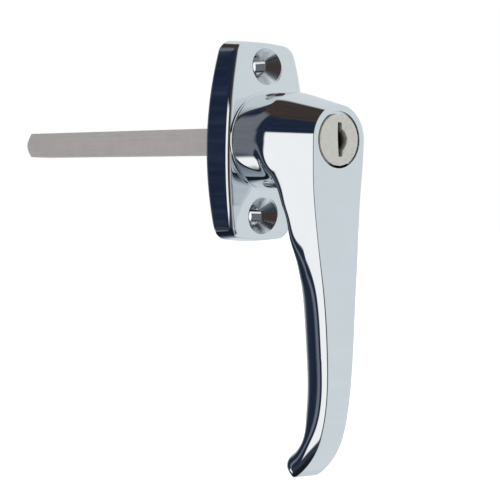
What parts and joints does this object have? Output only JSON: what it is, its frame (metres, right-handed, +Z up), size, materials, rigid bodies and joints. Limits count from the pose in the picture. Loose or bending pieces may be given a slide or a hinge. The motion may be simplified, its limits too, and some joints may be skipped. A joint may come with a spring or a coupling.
{
  "type": "locking window handle",
  "caption": "Chrome lever handle on an oval screw-on plate, with a key plug in its head, a square spindle and a locking bolt.",
  "frame": {"origin": "spindle axis on the base plate's back face", "axes": "+Y along the spindle into the door or sash, -Y towards the hand, +Z up; the lever hangs along -Z"},
  "size_m": [0.032, 0.1562, 0.1283],
  "materials": {
    "chrome_plate": "bright chrome on die-cast zinc",
    "chrome_lever": "bright chrome on die-cast zinc",
    "plated_steel": "dull zinc-plated drawn bar",
    "journal_steel": "turned steel, zinc-plated",
    "pin_steel": "ground steel",
    "washer_steel": "zinc-plated stamping",
    "clip_steel": "phosphated spring steel",
    "spring_steel": "drawn spring wire or strip",
    "bolt_steel": "sintered steel",
    "plug_nickel": "satin nickel on die-cast zinc",
    "wafer_brass": "stamped brass"
  },
  "bodies": {
    "base": {"base_plate": "chrome_plate"},
    "lever": {"lever": "chrome_lever", "journal": "journal_steel", "spindle": "plated_steel", "spindle_pin": "pin_steel", "thrust_washer": "washer_steel", "disc_spring": "spring_steel", "journal_clip": "clip_steel", "plug_pin": "pin_steel", "bolt_spring": "spring_steel"},
    "bolt": {"locking_bolt": "bolt_steel"},
    "plug": {"lock_plug": "plug_nickel", "plug_cam": "bolt_steel", "wafer_spring_1": "spring_steel", "wafer_spring_2": "spring_steel", "wafer_spring_3": "spring_steel", "wafer_spring_4": "spring_steel", "wafer_spring_5": "spring_steel"},
    "wafer_1": {"wafer_1": "wafer_brass"},
    "wafer_2": {"wafer_2": "wafer_brass"},
    "wafer_3": {"wafer_3": "wafer_brass"},
    "wafer_4": {"wafer_4": "wafer_brass"},
    "wafer_5": {"wafer_5": "wafer_brass"}
  },
  "joints": [
    {"name": "lever_turn", "type": "hinge", "parent": "base", "child": "lever", "pos_m": [0, 0, 0], "axis": [0, -1, 0], "range_deg": [0, 90]},
    {"name": "plug_turn", "type": "hinge", "parent": "lever", "child": "plug", "pos_m": [0, 0, 0], "axis": [0, -1, 0], "range_deg": [0, 90]},
    {"name": "bolt_slide", "type": "slide", "parent": "lever", "child": "bolt", "axis": [1, 0, 0], "range_m": [0, 0.002], "deforming": ["bolt_spring"]},
    {"name": "wafer_1_slide", "type": "slide", "parent": "plug", "child": "wafer_1", "axis": [0, 0, -1], "range_m": [0, 0.0006], "deforming": ["wafer_spring_1"]},
    {"name": "wafer_2_slide", "type": "slide", "parent": "plug", "child": "wafer_2", "axis": [0, 0, -1], "range_m": [0, 0.0006], "deforming": ["wafer_spring_2"]},
    {"name": "wafer_3_slide", "type": "slide", "parent": "plug", "child": "wafer_3", "axis": [0, 0, -1], "range_m": [0, 0.0006], "deforming": ["wafer_spring_3"]},
    {"name": "wafer_4_slide", "type": "slide", "parent": "plug", "child": "wafer_4", "axis": [0, 0, -1], "range_m": [0, 0.0006], "deforming": ["wafer_spring_4"]},
    {"name": "wafer_5_slide", "type": "slide", "parent": "plug", "child": "wafer_5", "axis": [0, 0, -1], "range_m": [0, 0.0006], "deforming": ["wafer_spring_5"]}
  ],
  "couplings": [
    {"joint": "bolt_slide", "follows": "plug_turn", "m_per_rad": 0.0012732}
  ]
}
